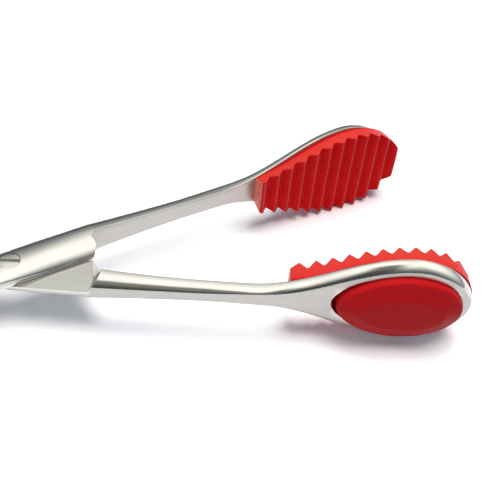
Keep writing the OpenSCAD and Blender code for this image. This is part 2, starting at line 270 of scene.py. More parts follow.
class TongsFinish(bpy.types.PropertyGroup):
    """Colours and gloss of the pieces"""
    steel_color: color_setting("Steel", "Colour of the arms", (0.64, 0.625, 0.60))
    satin: share_setting("Satin roughness", "Roughness of the brushed flat faces", 0.36)
    polished: share_setting("Polished roughness", "Roughness of the polished flanks", 0.13)
    spring_color: color_setting("Springs", "Colour of the spring leaves", (0.55, 0.55, 0.54))
    rubber_color: color_setting("Rubber", "Colour of the jaw pads", (0.8, 0.006, 0.009))
    # Painted sheen: a pale colour on the pads' walls and crests that stands in for light
    # glancing off them.
    sheen_color: color_setting(
        "Sheen", "Colour of the rubber's matt walls and crests", (0.62, 0.045, 0.032))
    # Painted sheen: a bright colour on the heel's end face that stands in for light from the
    # side.
    heel_sheen_color: color_setting(
        "Heel", "Colour of the rubber where the heel is trimmed", (1.0, 0.26, 0.18))
    # Painted shade: a darker red on the dome that stands in for the shade on its face turned
    # away from the light.
    dome_shade_color: color_setting(
        "Dome", "Colour of the rubber's smooth domed backs", (0.5, 0.007, 0.01))
    rubber_roughness: share_setting("Rubber roughness", "Roughness of the jaw pads", 0.42)


class TongsStage(bpy.types.PropertyGroup):
    """Studio around the tongs"""
    key_power: power_setting("Key light", "Power of the large lamp above the tongs", 4.5)
    side_power: power_setting(
        "Side light", "Power of the low lamp on the handles' side", 1.15)
    fill: share_setting("Fill", "Strength of the even light from all round", 0.14)


# ---- Shape helpers ----

def ease(u):
    """Half a cosine wave, from 0 at 0 to 1 at 1."""
    return (1 - np.cos(np.pi * np.clip(u, 0, 1))) / 2


def mix(a, b, u):
    """Straight line from a at 0 to b at 1."""
    return a + (b - a) * u


def pair(a, b):
    """Two arrays as the columns of one."""
    a, b = np.broadcast_arrays(np.asarray(a, float), np.asarray(b, float))
    return np.stack([a, b], -1)


def seat_rise(x):
    """The ring leans outwards in a straight line from where it starts."""
    return SEAT_SLOPE * np.maximum(0, x - RING_START)


def bar_inner(x):
    """Inner face of the jaw arm: a power curve up to the seat, then the lean."""
    u = np.minimum(x, RING_START) / RING_START
    return SEAT_Y * (1 - (1 - u) ** INNER_POWER) + seat_rise(x)


def bar_thick(x):
    """Thickness of the jaw arm: falls by a power curve to the ring's."""
    u = np.minimum(x, RING_START) / RING_START
    return RING_THICKNESS + BAR_ROOT_EXTRA * (1 - u) ** TAPER_POWER


def inner_half(x):
    """Half width of the inner face: a parabola to the waist, a wave into the ring."""
    root = BAR_ROOT_GROWTH * (np.maximum(0, WAIST_X - x) / WAIST_X) ** 2
    ring = (RING_HALF - BAR_HALF) * ease((x - RING_FLARE) / (RING_MIDDLE - RING_FLARE))
    return BAR_HALF + root + ring


def outer_half(x):
    """Half width of the outer flat: a widening web, then a wave into the ring's land."""
    web = FLAT_WAIST + WEB_SLOPE * np.maximum(0, x - WEB_START)
    web_end = FLAT_WAIST + WEB_SLOPE * (RING_MIDDLE - WEB_START)
    land = ease((x - LAND_START) / (RING_MIDDLE - LAND_START))
    root = FLAT_ROOT_GROWTH * (np.maximum(0, WEB_START - x) / WEB_START) ** 2
    return web + (RING_HALF - BEVEL - web_end) * land + root


def along_handle(start, end, d):
    """Wave from a value at the joint to one at the start of the grip."""
    return mix(start, end, ease((d - LAP_END) / (HANDLE_START - LAP_END)))


def handle_thick(d):
    """Thickness of the handle at a distance from the pivot."""
    return mix(HANDLE_ROOT, HANDLE_THICKNESS, ease(d / HANDLE_START))


def egg(start, end, half):
    """Outline in x and z: a superellipse towards the joint, an ellipse to the tip."""
    a = np.linspace(0, 2 * np.pi, EGG_POINTS, endpoint=False)
    c, s = np.cos(a), np.sin(a)
    back = c < 0
    power = 2 / WINDOW_POWER
    x = np.where(back, WINDOW_MIDDLE - (WINDOW_MIDDLE - start) * np.abs(c) ** power,
                 WINDOW_MIDDLE + (end - WINDOW_MIDDLE) * np.abs(c))
    z = half * np.sign(s) * np.where(back, np.abs(s) ** power, np.abs(s))
    return x, z


def egg_at(height, start, end, half):
    """The outline as a ring of points at a height above the leaning seat."""
    x, z = egg(start, end, half)
    return np.stack([x, SEAT_Y + seat_rise(x) + height, z], -1)


# ---- Mesh helpers ----

def grid_quads(rows, cols):
    """Quads between neighbouring rings of cols points each."""
    i, k = np.meshgrid(np.arange(rows - 1), np.arange(cols), indexing="ij")
    a, b = i * cols + k, i * cols + (k + 1) % cols
    return np.stack([a, b, b + cols, a + cols], -1).reshape(-1, 4)


def new_object(name, data):
    """Adds an object to the scene."""
    obj = bpy.data.objects.new(name, data)
    bpy.context.scene.collection.objects.link(obj)
    return obj


def piece(name, rings, caps=(True, True)):
    """Closed surface through rings, an array of rows x points x 3 in millimetres.
    A capped end is a fan to the middle of its ring; any other end is zipped up,
    because its last ring has no width."""
    rows, cols = rings.shape[:2]
    points = rings.reshape(-1, 3)
    faces = [grid_quads(rows, cols)]
    k = np.arange(cols)
    after = (k + 1) % cols
    last = (rows - 1) * cols
    for capped, ring, a, b in ((caps[0], rings[0], after, k),
                               (caps[1], rings[-1], last + k, last + after)):
        if capped:
            hub = np.full(cols, len(points))
            points = np.concatenate([points, ring.mean(0)[None]])
            faces.append(np.stack([a, b, hub], -1))
    mesh = bpy.data.meshes.new(name)
    mesh.vertices.add(len(points))
    mesh.vertices.foreach_set("co", (points * MM).astype(np.float32).ravel())
    loops = np.concatenate([f.ravel() for f in faces])
    sizes = np.concatenate([np.full(len(f), f.shape[1]) for f in faces])
    mesh.loops.add(len(loops))
    mesh.loops.foreach_set("vertex_index", loops.astype(np.int32))
    mesh.polygons.add(len(sizes))
    mesh.polygons.foreach_set("loop_start", (np.cumsum(sizes) - sizes).astype(np.int32))
    mesh.update(calc_edges=True)
    close(mesh)
    return new_object(name, mesh)


def close(mesh):
    """Merges equal points, drops empty faces and turns the shell outwards."""
    bm = bmesh.new()
    bm.from_mesh(mesh)
    bmesh.ops.remove_doubles(bm, verts=bm.verts, dist=1e-7)
    bmesh.ops.dissolve_degenerate(bm, edges=bm.edges, dist=1e-8)
    if bm.calc_volume(signed=True) < 0:
        bmesh.ops.reverse_faces(bm, faces=bm.faces)
    bm.to_mesh(mesh)
    bm.free()


def lathe(name, profile, count=FINE):
    """Solid of revolution about z through a list of (radius, height) points."""
    r, z = np.array(profile, float).T
    a = np.linspace(0, 2 * np.pi, count, endpoint=False)
    rings = np.stack([r[:, None] * np.cos(a), r[:, None] * np.sin(a),
                      np.broadcast_to(z[:, None], (len(r), count))], -1)
    return piece(name, rings, (False, False))


def rod(name, radius, low, high):
    """Plain cylinder about z."""
    return lathe(name, [(0, low), (radius, low), (radius, high), (0, high)])


def block(name, low, high):
    """Box between two corners."""
    (x0, y0, z0), (x1, y1, z1) = low, high
    ring = np.array([[x0, y0], [x1, y0], [x1, y1], [x0, y1]], float)
    rings = np.stack([np.column_stack([ring, np.full(4, z)]) for z in (z0, z1)])
    return piece(name, rings)


def vectors(items, name):
    """The points or normals of a mesh as rows."""
    values = np.empty(len(items) * 3, np.float32)
    items.foreach_get(name, values)
    return values.reshape(-1, 3)


def apply_to(obj, move):
    """Moves every point of a piece with a function of the points in millimetres."""
    moved = move(vectors(obj.data.vertices, "co").astype(float) / MM) * MM
    obj.data.vertices.foreach_set("co", moved.astype(np.float32).ravel())
    obj.data.update()
    return obj


def on_handle(points, height=0.0):
    """Turns z into y and moves a lathed piece to where the leaf's screw sits."""
    return np.column_stack([points[:, 0] - LEAF_SCREW_X, points[:, 2] + height, -points[:, 1]])


def turned(points, angle):
    """Turns points about z."""
    c, s = math.cos(angle), math.sin(angle)
    x, y, z = points.T
    return np.column_stack([c * x - s * y, s * x + c * y, z])


def place(points, side):
    """From an arm's own frame to the tongs': the right arm is turned over about x,
    then each arm is turned about the pivot by half of the opening."""
    sign = 1 if side == "left" else -1
    return turned(points * [1, sign, sign], sign * OPEN_ANGLE) + PIVOT


def carve(obj, cutter, operation="DIFFERENCE"):
    """Takes the cutter away from obj, or joins it to obj, and removes the cutter.
    The cut faces get obj's last material. An unpainted obj is left with an empty
    slot, to be cleared before it is painted."""
    if operation == "DIFFERENCE":
        cutter.data.materials.clear()
        for slot in obj.data.materials:
            cutter.data.materials.append(slot)
        last = max(len(obj.data.materials) - 1, 0)
        cutter.data.polygons.foreach_set(
            "material_index", np.full(len(cutter.data.polygons), last, np.int32))
    modifier = obj.modifiers.new("carve", "BOOLEAN")
    modifier.operation = operation
    modifier.solver = "MANIFOLD"
    modifier.object = cutter
    graph = bpy.context.evaluated_depsgraph_get()
    graph.update()
    result = bpy.data.meshes.new_from_object(obj.evaluated_get(graph))
    obj.modifiers.clear()
    before = obj.data
    if not result.polygons or len(result.vertices) == len(obj.data.vertices):
        raise RuntimeError(f"{obj.name}: the cut by {cutter.name} changed nothing")
    obj.data = result
    bpy.data.meshes.remove(before)
    bpy.data.objects.remove(cutter)
    result.name = obj.name
    return obj


def smooth(obj):
    """Smooth shading with sharp corners."""
    obj.data.shade_smooth()
    obj.data.set_sharp_from_angle(angle=SHARP_ANGLE)


def finish(obj, body, node):
    """Shades the piece and puts it on its body in its CAD node's place."""
    smooth(obj)
    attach(obj, body)
    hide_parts(node)


# ---- Arms ----

def ring_rows(x, side_a, crest, side_b, power_a, power_b, steps):
    """Cross-sections: from side A over the crest to side B, each flank a quarter of
    a superellipse, and the same below. Power 2 is round, a high power is flat."""
    a = np.linspace(0, np.pi / 2, steps + 1)[None, :]

    def flank(side, power):
        c, s = np.cos(a) ** (2 / power), np.sin(a) ** (2 / power)
        c[:, -1], s[:, 0] = 0, 0
        return np.stack([mix(side[:, :1], crest[:, :1], 1 - c),
                         mix(side[:, 1:], crest[:, 1:], s)])

    y, h = np.concatenate([flank(side_a, power_a),
                           flank(side_b, power_b)[..., -2::-1]], -1)
    y = np.concatenate([y, y[:, ::-1]], 1)
    h = np.concatenate([h, -h[:, ::-1]], 1)
    return np.stack([np.broadcast_to(x[:, None], y.shape), y, h], -1)


def bar_rows(x, edge, steps):
    """Sections of the jaw arm: round outer flank, flat inner face with a small edge."""
    y, h = bar_inner(x), inner_half(x)
    return ring_rows(x, pair(y + bar_thick(x), outer_half(x)), pair(y + edge, h),
                     pair(y, THIN_EDGE), ROUND, FLAT, steps)


def tip_rows(a, edge, steps):
    """Tip half of the ring: a drop, with the tip set back on its outer levels."""
    base = bar_rows(np.array([RING_MIDDLE]), edge, steps)[0]
    level = np.clip((base[:, 1] - bar_inner(RING_MIDDLE)) / RING_THICKNESS, 0, 1)
    tip = JAW_LENGTH - TIP_BEVEL * (1 - np.sqrt(1 - level ** 2))
    s, c = np.sin(a)[:, None] ** (2 / DROP_POWER), np.cos(a)[:, None] ** (2 / DROP_POWER)
    x = RING_MIDDLE + (tip - RING_MIDDLE) * s
    y = base[:, 1] + seat_rise(x) - seat_rise(RING_MIDDLE)
    return np.stack([x, y, base[:, 2] * c], -1)


def handle_rows(d, edge, steps):
    """Sections of the handle: flat inner face with a small edge, round outer flank."""
    y = along_handle(bar_inner(LAP_END), HANDLE_INNER, d)
    h = along_handle(HANDLE_WAIST, HANDLE_HALF, d)
    return ring_rows(-d, pair(-y, THIN_EDGE), pair(-y - edge, h),
                     pair(-y - handle_thick(d), along_handle(LAP_EDGE_FLAT, HANDLE_FLAT, d)),
                     FLAT, ROUND, steps)


def handle_end_rows(a, edge, steps):
    """Round end of the handle: half an ellipse in plan."""
    base = handle_rows(np.array([HANDLE_LENGTH - HANDLE_HALF]), edge, steps)[0]
    x = base[:, 0] - HANDLE_HALF * np.sin(a)[:, None]
    z = base[:, 2] * np.cos(a)[:, None]
    return np.stack([x, np.broadcast_to(base[:, 1], x.shape), z], -1)


def lap_edge(u, flat):
    """Height of a lap's side: a flat that thins in a wave towards the other arm."""
    return mix(flat, THIN_EDGE, ease((u - LAP_FLAT_END) / (LAP_THIN_START - LAP_FLAT_END)))


def lap_rows(x, edge, steps):
    """Sections of the lap: a dome whose outer sides run on into bar and handle."""
    s = np.abs(x) / LAP_END
    half = JOINT_WIDTH / 2
    jaw_side = bar_inner(LAP_END) + bar_thick(LAP_END)
    handle_side = bar_inner(LAP_END) + handle_thick(LAP_END)
    inner = mix(half, LAP_INNER_SIDE, s)
    jaw = x >= 0
    side_a = np.where(jaw, mix(half, jaw_side, s), inner)
    side_b = np.where(jaw, inner, mix(half, handle_side, s))
    end_crest = np.where(jaw, inner_half(LAP_END), HANDLE_WAIST)
    end_y = np.where(jaw, 1, -1) * (bar_inner(LAP_END) + edge * s ** 4)
    crest = pair(end_y * ease(s), mix(JOINT_THICKNESS / 2, end_crest, s ** 2))
    return ring_rows(x, pair(side_a, lap_edge(-x, outer_half(LAP_END))), crest,
                     pair(-side_b, lap_edge(x, LAP_EDGE_FLAT)), ROUND, ROUND, steps)


def arm_blank(edge, steps):
    """One closed loft from the end of the handle to the tip of the jaw."""
    end = np.linspace(np.pi / 2, 0, 18, endpoint=False)
    grip = np.linspace(HANDLE_LENGTH - HANDLE_HALF, HANDLE_START, 20, endpoint=False)
    shank = np.linspace(HANDLE_START, LAP_END, 49)
    lap = np.linspace(-LAP_START, LAP_START, 72)
    bar = np.linspace(LAP_END, RING_MIDDLE, 110)
    tip = np.linspace(0, np.pi / 2, 44)[1:]
    rings = [rows(at, edge, steps) for rows, at in (
        (handle_end_rows, end), (handle_rows, grip), (handle_rows, shank), (lap_rows, lap),
        (bar_rows, bar), (tip_rows, tip))]
    return piece("arm", np.concatenate(rings), (False, False))


def past_lap_end(sign):
    """What lies past the round end of a lap, at the jaw for 1 and at the handle for
    -1: a block less a leaning round end."""
    tall = JOINT_THICKNESS
    cutter = block("past", (JOINT_WIDTH, -2 * JOINT_WIDTH, -tall),
                   (LAP_END, bar_inner(LAP_END), tall))
    end = LAP_RADIUS - LAP_END_CLEARANCE
    carve(cutter, lathe("end", [(0, 0), (end, 0), (end + 4 * LAP_RAMP, 2 * tall),
                                (0, 2 * tall)], FINER))
    return apply_to(cutter, lambda p: p * [sign, sign, 1])


def window_cutter(rim):
    """Egg-shaped prism that flares by a quarter circle at the ring's outer face."""
    t = np.radians(np.linspace(0, 78, 7))
    flare = np.concatenate([[0], rim * (1 - np.cos(t)), [rim * (1 - math.cos(t[-1]))]])
    height = np.concatenate([[-1], RING_THICKNESS - rim + rim * np.sin(t),
                             [RING_THICKNESS + 0.6]])
    return piece("window", np.array([
        egg_at(h, WINDOW_START - f, WINDOW_END + f, WINDOW_HALF + f)
        for f, h in zip(flare, height)]))


def arm_shape(edge, rim, steps):
    """Arm without its joint bore: the loft less the lap's ramp and ends, the window
    and the tapped hole for the leaf's screw."""
    arm = arm_blank(edge, steps)
    low = LAP_GAP / 2 - JOINT_THICKNESS
    carve(arm, lathe("lap", [(0, low), (LAP_RADIUS + 2 * LAP_RAMP, low),
                             (LAP_RADIUS, LAP_GAP / 2), (0, LAP_GAP / 2)], FINER))
    carve(arm, past_lap_end(1))
    carve(arm, past_lap_end(-1))
    carve(arm, window_cutter(rim))
    hole = rod("hole", LEAF_SCREW / 2, -HANDLE_INNER - 2 * HANDLE_THICKNESS, 0)
    return carve(arm, apply_to(hole, on_handle))


def store_mark(obj, name, rule):
    """Stores a value per point, from a rule of the points in millimetres and normals."""
    value = rule(vectors(obj.data.vertices, "co") / MM,
                 vectors(obj.data.vertex_normals, "vector"))
    attribute = obj.data.attributes.new(name, "FLOAT", "POINT")
    attribute.data.foreach_set("value", value.astype(np.float32))


def step(value, low, high):
    """Smooth step from 0 at low to 1 at high."""
    t = np.clip((value - low) / (high - low), 0, 1)
    return t * t * (3 - 2 * t)


def mark_polish(obj):
    """How far each point belongs to a flank: 0 on the flats and round the tapped hole
    of the spring's screw, 1 on the rounds."""
    store_mark(obj, "polish", lambda p, n: step(np.abs(n[:, 2]), 0.2, 0.55)
               * (np.hypot(p[:, 0] + LEAF_SCREW_X, p[:, 2]) > LEAF_SCREW))


# ---- Pads ----

def outline_half(x, heel, tip, heel_half, half):
    """Half width of the pad: a soft rise to the middle, then an ellipse to the tip."""
    u = np.clip((x - heel) / (PAD_MIDDLE - heel), 0, 1)
    grow = (ease(u) + np.sin(np.pi / 2 * u)) / 2
    v = np.clip((x - PAD_MIDDLE) / (tip - PAD_MIDDLE), 0, 1)
    return mix(heel_half, half, grow) * np.sqrt(np.maximum(0, 1 - v ** 2))


def ridge_line(x, rounding):
    """Height of the ridged face: grooves with a round bottom and straight flanks
    between sharp crests, and a gentler slope at the heel, then smoothed."""
    def sharp(x):
        centre, half = GROOVE_DEPTH - GROOVE_RADIUS, RIDGE_PITCH / 2
        lean = (math.acos(GROOVE_RADIUS / math.hypot(half, centre))
                - math.atan2(centre, half))
        touch_x = GROOVE_RADIUS * math.cos(lean)
        touch_y = centre + GROOVE_RADIUS * math.sin(lean)
        w = np.abs((x - FIRST_RIDGE) % RIDGE_PITCH - half)
        bowl = np.sqrt(np.maximum(0, GROOVE_RADIUS ** 2 - np.minimum(w, touch_x) ** 2))
        side = touch_y * (half - w) / (half - touch_x)
        depth = np.where(w < touch_x, centre + bowl, side)
        return CREST_Y + np.where(x < FIRST_RIDGE, HEEL_SLOPE * (FIRST_RIDGE - x), depth)

    shifts = np.linspace(-1.5, 1.5, 13)
    weights = np.exp(-shifts ** 2)
    near = np.stack([sharp(x + s * rounding) for s in shifts])
    return (near * weights[:, None]).sum(0) / weights.sum()


def pad_front(name, rounding, shift):
    """Slab between seat and ridges: sections in y and z carried along x."""
    heel, tip = PAD_HEEL + shift, PAD_TIP + shift
    start = heel + HEEL_ROUND * (1 - np.cos(np.linspace(0, np.pi / 2, 6)))
    body = np.arange(heel + HEEL_ROUND + 0.05, PAD_MIDDLE, 0.08)
    end = PAD_MIDDLE + (tip - PAD_MIDDLE) * np.sin(np.linspace(0, np.pi / 2, 170))
    x = np.concatenate([start, body, end])
    seat = SEAT_Y + SEAT_SLOPE * (x - RING_START)
    front = ridge_line(x, rounding)
    short = np.clip(heel + HEEL_ROUND - x, 0, HEEL_ROUND)
    inset = HEEL_ROUND - np.sqrt(np.maximum(0, HEEL_ROUND ** 2 - short ** 2))
    half_seat = outline_half(x, heel, tip, HEEL_HALF_SEAT, RING_HALF - 2 * PAD_INSET) - inset
    half_crest = outline_half(x, heel, tip, HEEL_HALF_CREST, RING_HALF - PAD_INSET) - inset
    half_front = mix(half_seat, half_crest, (seat - front) / (seat - CREST_Y))
    corner = np.minimum(PAD_CORNER, half_front * 0.3)
    up = np.linspace(0, 1, 7)
    turn = np.linspace(0, np.pi / 2, 5)
    wall_y = mix(seat[:, None], (front + corner)[:, None], up)
    wall_z = mix(half_seat[:, None], half_front[:, None], up)
    round_y = (front + corner)[:, None] - corner[:, None] * np.sin(turn[1:])
    round_z = half_front[:, None] - corner[:, None] * (1 - np.cos(turn[1:]))
    across = np.linspace(1, -1, 15)[1:-1]
    flat_z = (half_front - corner)[:, None] * across
    flat_y = np.broadcast_to(front[:, None], flat_z.shape)
    y = np.concatenate([wall_y, round_y, flat_y, round_y[:, ::-1], wall_y[:, ::-1]], 1)
    z = np.concatenate([wall_z, round_z, flat_z, -round_z[:, ::-1], -wall_z[:, ::-1]], 1)
    rings = np.stack([np.broadcast_to(x[:, None], y.shape), y, z], -1)
    rings[-1, :, 2] = 0
    return piece(name, rings, (True, False))


def pad_back():
    """Plug and dome: egg outlines stacked along y, drawn in by a smoothed profile."""
    profile = np.array([[0, 0], [0.05, 0.33], [0.3, 0.5], [3.1, 0.965], [3.6, 0.99],
                        [5, 1.01]])
    steps = np.concatenate([[0], np.cumsum(np.hypot(*np.diff(
        profile * [1, DOME_HEIGHT], axis=0).T))])
    s = np.linspace(0, steps[-1], 64)
    inset = np.interp(s, steps, profile[:, 0])
    height = np.interp(s, steps, profile[:, 1]) * DOME_HEIGHT
    for line in (inset, height) * 2:
        line[1:-1] = (line[:-2] + 2 * line[1:-1] + line[2:]) / 4
    back = WINDOW_START + HEEL_RELIEF
    rows = [egg_at(h, back + PAD_CLEARANCE, WINDOW_END - PAD_CLEARANCE,
                   WINDOW_HALF - PAD_CLEARANCE)
            for h in (-0.15, RING_THICKNESS - 0.05, RING_THICKNESS)]
    rows += [egg_at(RING_THICKNESS + h, back + i, WINDOW_END + LIP - i, WINDOW_HALF + LIP - i)
             for i, h in zip(inset, height)]
    rows += [mix(rows[-1].mean(0), rows[-1], t) for t in (0.7, 0.4, 0.15)]
    return piece("pad_back", np.array(rows))


def mark_rubber(obj, heel):
    """Finish and painted light of each point: 1 on the walls of the front part as painted
    sheen, falling to 0.7 towards the seat as painted shade, 1.3 on its crests as a painted
    highlight,
    2 on its heel as a brighter painted sheen, 0 in the grooves, and -1 on the dome behind the
    ring as painted shade."""
    def rule(p, n):
        level = p[:, 1] - SEAT_Y - seat_rise(p[:, 0])
        # Painted sheen on the walls, weaker towards the seat as painted shade there.
        wall_sheen = step(-np.abs(n[:, 1]), -0.62, -0.3) * (level < 0.1)
        wall_sheen *= 0.7 + 0.3 * step(-level, 0.1, 2.2)
        # Painted highlight along the crests.
        crest = 1.3 * step(-p[:, 1], -CREST_Y - 0.22, -CREST_Y - 0.06)
        # Brighter painted sheen on the heel's end face.
        painted_bright = 2 * step(-p[:, 0], -heel - 0.15, -heel - 0.05) * (level < 0.1)
        return np.where(level > 0.1, -1, np.maximum(np.maximum(wall_sheen, crest), painted_bright))

    # The finish attribute carries painted sheen, highlight and shade as well as the specular
    # level.
    store_mark(obj, "finish", rule)


# ---- Springs ----

def leaf_line():
    """Centre line in x and y: straight root, cubic curve to the crossing, short tip."""
    start = np.array([-LEAF_FREE, -HANDLE_INNER + LEAF_THICKNESS / 2])
    run = LEAF_CROSS[0] - start[0]
    u = np.linspace(0, 1, 120)[:, None]
    curve = ((2 * u ** 3 - 3 * u ** 2 + 1) * start
             + (u ** 3 - 2 * u ** 2 + u) * [run, 0]
             + (3 * u ** 2 - 2 * u ** 3) * LEAF_CROSS
             + (u ** 3 - u ** 2) * (run * np.array([1, math.tan(LEAF_TIP_SLOPE)])))
    root = np.stack([np.linspace(-LEAF_ROOT, -LEAF_FREE, 30, endpoint=False),
                     np.full(30, start[1])], -1)
    way = np.array([math.cos(LEAF_TIP_SLOPE), math.sin(LEAF_TIP_SLOPE)])
    tip = LEAF_CROSS + np.linspace(0, LEAF_TIP_OVER, 24)[1:, None] * way
    return np.concatenate([root, curve, tip])


def leaf(name, tip_half):
    """A rounded strip carried along the leaf line, tapered and rounded at its ends."""
    line = leaf_line()
    way = np.gradient(line, axis=0)
    way /= np.linalg.norm(way, axis=1)[:, None]
    across = np.stack([-way[:, 1], way[:, 0]], -1)
    neck = LEAF_CROSS[0] - FORK_DEPTH
    half = np.interp(line[:, 0], [-LEAF_FREE, neck], [LEAF_HALF, LEAF_TIP_HALF])
    half = mix(half, tip_half, ease((line[:, 0] - neck) / LEAF_TIP_RUN))
    for end, sign in ((line[0, 0], 1), (line[-1, 0], -1)):
        u = np.clip(1 - sign * (line[:, 0] - end) / LEAF_END_RUN, 0, 1)
        half = half * np.maximum(np.sqrt(1 - u ** 2), LEAF_END_SHARE)
    a = np.linspace(0, 2 * np.pi, 40, endpoint=False)
    c, s = np.cos(a), np.sin(a)
    wide = np.sign(c) * np.abs(c) ** LEAF_EDGE_POWER
    thick = np.sign(s) * np.abs(s) ** LEAF_FACE_POWER * LEAF_THICKNESS / 2
    x = line[:, :1] + across[:, :1] * thick
    y = line[:, 1:] + across[:, 1:] * thick
    return piece(name, np.stack([x, y, half[:, None] * wide], -1))


def slot_cutter(length, floor, top):
    """Straight slot for a screwdriver."""
    return block("slot", (-length, -SLOT_WIDTH / 2, floor), (length, SLOT_WIDTH / 2, top))


# ---- Finishes ----

def add(tree, kind, inputs=None, **options):
    """Adds a node with its options. An input given as a socket is linked, else set."""
    node = tree.nodes.new("ShaderNode" + kind)
    for name, value in options.items():
        setattr(node, name, value)
    for name, value in (inputs or {}).items():
        if isinstance(value, bpy.types.NodeSocket):
            tree.links.new(value, node.inputs[name])
        else:
            node.inputs[name].default_value = value
    return node


def empty_tree(owner):
    """Node tree of a material or a world, with nothing in it."""
    owner.use_nodes = True
    owner.node_tree.nodes.clear()
    return owner.node_tree


def new_material(name):
    """Material with its node tree and one Principled shader."""
    material = bpy.data.materials.new(name)
    tree = empty_tree(material)
    shader = add(tree, "BsdfPrincipled")
    add(tree, "OutputMaterial", {"Surface": shader.outputs["BSDF"]})
    return material, tree, shader


def own_point(tree):
    """Where a point lies in its piece's own coordinates."""
    return add(tree, "TexCoord").outputs["Object"]


def own_noise(tree, stretch, turn=0.0, detail=2.0, roughness=0.5):
    """Noise on the piece's own coordinates, turned about z and stretched per axis."""
    spin = add(tree, "Mapping", {"Vector": own_point(tree), "Rotation": (0, 0, turn)})
    grain = add(tree, "Mapping", {"Vector": spin.outputs["Vector"], "Scale": stretch})
    return add(tree, "TexNoise", {"Vector": grain.outputs["Vector"], "Scale": 1,
                                  "Detail": detail, "Roughness": roughness}).outputs["Fac"]


def spread_value(tree, source, low, high, start=0.3, end=0.7):
    """Maps a value from start..end to low..high."""
    return add(tree, "MapRange", {"Value": source, "From Min": start, "From Max": end,
                                  "To Min": low, "To Max": high}).outputs["Result"]


def combine(tree, operation, a, b=0.0):
    """Result of one sum on two values."""
    return add(tree, "Math", {0: a, 1: b}, operation=operation).outputs["Value"]


def tint(tree, source, low, high):
    """Colour between two by a value. Each is a colour or a socket."""
    low, high = (color if isinstance(color, bpy.types.NodeSocket) else (*color, 1)
                 for color in (low, high))
    return add(tree, "Mix", {"Factor": source, "A": low, "B": high},
               data_type="RGBA").outputs["Result"]


def mark(tree, name):
    """A value that the piece stores per point."""
    return add(tree, "Attribute", attribute_name=name).outputs["Fac"]


def bump(tree, shader, height, strength):
    """Fine relief on the shader's normal."""
    node = add(tree, "Bump", {"Strength": strength, "Distance": RELIEF_DEPTH,
                              "Height": height})
    tree.links.new(node.outputs["Normal"], shader.inputs["Normal"])


def steel(name, color, satin, polished, turn, relief=ARM_RELIEF):
    """Brushed steel: long fine scratches along the piece, smoother on its flanks, with painted
    shade darkening the satin flats of pieces with polished flanks.
    """
    material, tree, shader = new_material(name)
    shader.inputs["Metallic"].default_value = 1
    scratches = own_noise(tree, SCRATCHES, turn, 4, 0.6)
    clouds = spread_value(tree, own_noise(tree, CLOUDS, turn), 0, 1)
    shade = tint(tree, clouds, [CLOUD_SHADE * c for c in color], color)
    rough = spread_value(tree, scratches, satin - 0.05, satin + 0.07)
    if polished is not None:
        flank = mark(tree, "polish")
        # Painted shade: the satin flats are darker than the flanks, standing in for their
        # dimmer reflection; the scratches give it grain.
        flat = tint(tree, spread_value(tree, scratches, 0, 1),
                    *([share * c for c in color] for share in SATIN_PAINTED_SHADES))
        shade = tint(tree, flank, flat, shade)
        rough = add(tree, "Mix", {"Factor": flank, "A": rough, "B": polished},
                    data_type="FLOAT").outputs["Result"]
    tree.links.new(shade, shader.inputs["Base Color"])
    tree.links.new(rough, shader.inputs["Roughness"])
    bump(tree, shader, scratches, relief)
    return material


def rubber(name, look):
    """Moulded rubber, by its finish attribute: a darker red on the dome at -1 as painted
    shade, the plain red in the ridges at 0, a pale painted sheen with fine specks on the walls
    at 1, a brighter painted sheen on the heel at 2, and a painted highlight on the crests
    between."""
    material, tree, shader = new_material(name)
    grain, specks = (own_noise(tree, (count,) * 3) for count in (5200, 2100))
    # The finish attribute: painted sheen, highlight and shade per point.
    level = mark(tree, "finish")
    speckled_sheen = combine(tree, "MULTIPLY", level,
                     spread_value(tree, specks, 0.75, 1.0, 0.35, 0.65))
    # Painted shade: the dome is drawn in a darker red.
    color = tint(tree, spread_value(tree, level, 0, 1, -1, 0),
                 look.dome_shade_color, look.rubber_color)
    # Painted sheen on the walls and heel, and a painted highlight on the crests, laid over the
    # red.
    for start, pale in enumerate((look.sheen_color, look.heel_sheen_color)):
        color = tint(tree, spread_value(tree, speckled_sheen, 0, 1, start, start + 1), color, pale)
    tree.links.new(color, shader.inputs["Base Color"])
    tree.links.new(spread_value(tree, level, 0.08, 0.18, 0, 1),
                   shader.inputs["Specular IOR Level"])
    rough = look.rubber_roughness
    tree.links.new(spread_value(tree, grain, rough - 0.06, rough + 0.08),
                   shader.inputs["Roughness"])
    bump(tree, shader, grain, RUBBER_RELIEF)
    return material


# ---- Operators ----

class TONGS_OT_arms(bpy.types.Operator):
    """Make the two forged arms"""
    bl_idname = "tongs.arms"
    bl_label = "Arms"

    def execute(self, context):
        sizes, look = context.scene.tongs_sizes, context.scene.tongs_finish
        shape = arm_shape(sizes.edge_round / MM, sizes.window_round / MM, sizes.flank_steps)
        for side, turn in SIDES:
            arm = new_object(f"{side}_arm_forged", shape.data.copy())
            arm.data.materials.clear()
            for part, satin, polished in (("arm", look.satin, look.polished),
                                          ("lap", look.satin + BORE_ROUGHER, None)):
                arm.data.materials.append(steel(f"{side} {part} steel", look.steel_color,
                                                satin, polished, turn))
            for radius, low in self.bores(side):
                carve(arm, rod("bore", radius, low, JOINT_THICKNESS))
            mark_polish(arm)
            apply_to(arm, lambda p: place(p, side))
            finish(arm, f"{side}_half", f"{side}_arm")
        bpy.data.objects.remove(shape)
        return {"FINISHED"}

    @staticmethod
    def bores(side):
        """Radius and floor of each bore: shank and counterbore, or the tapped hole."""
        if side == "right":
            return [(THREAD_RADIUS, BORE_FLOOR)]
        return [(SCREW_SHANK / 2 + RUNNING_CLEARANCE, BORE_FLOOR),
                (SCREW_HEAD / 2 + RUNNING_CLEARANCE, HEAD_SEAT - RUNNING_CLEARANCE)]


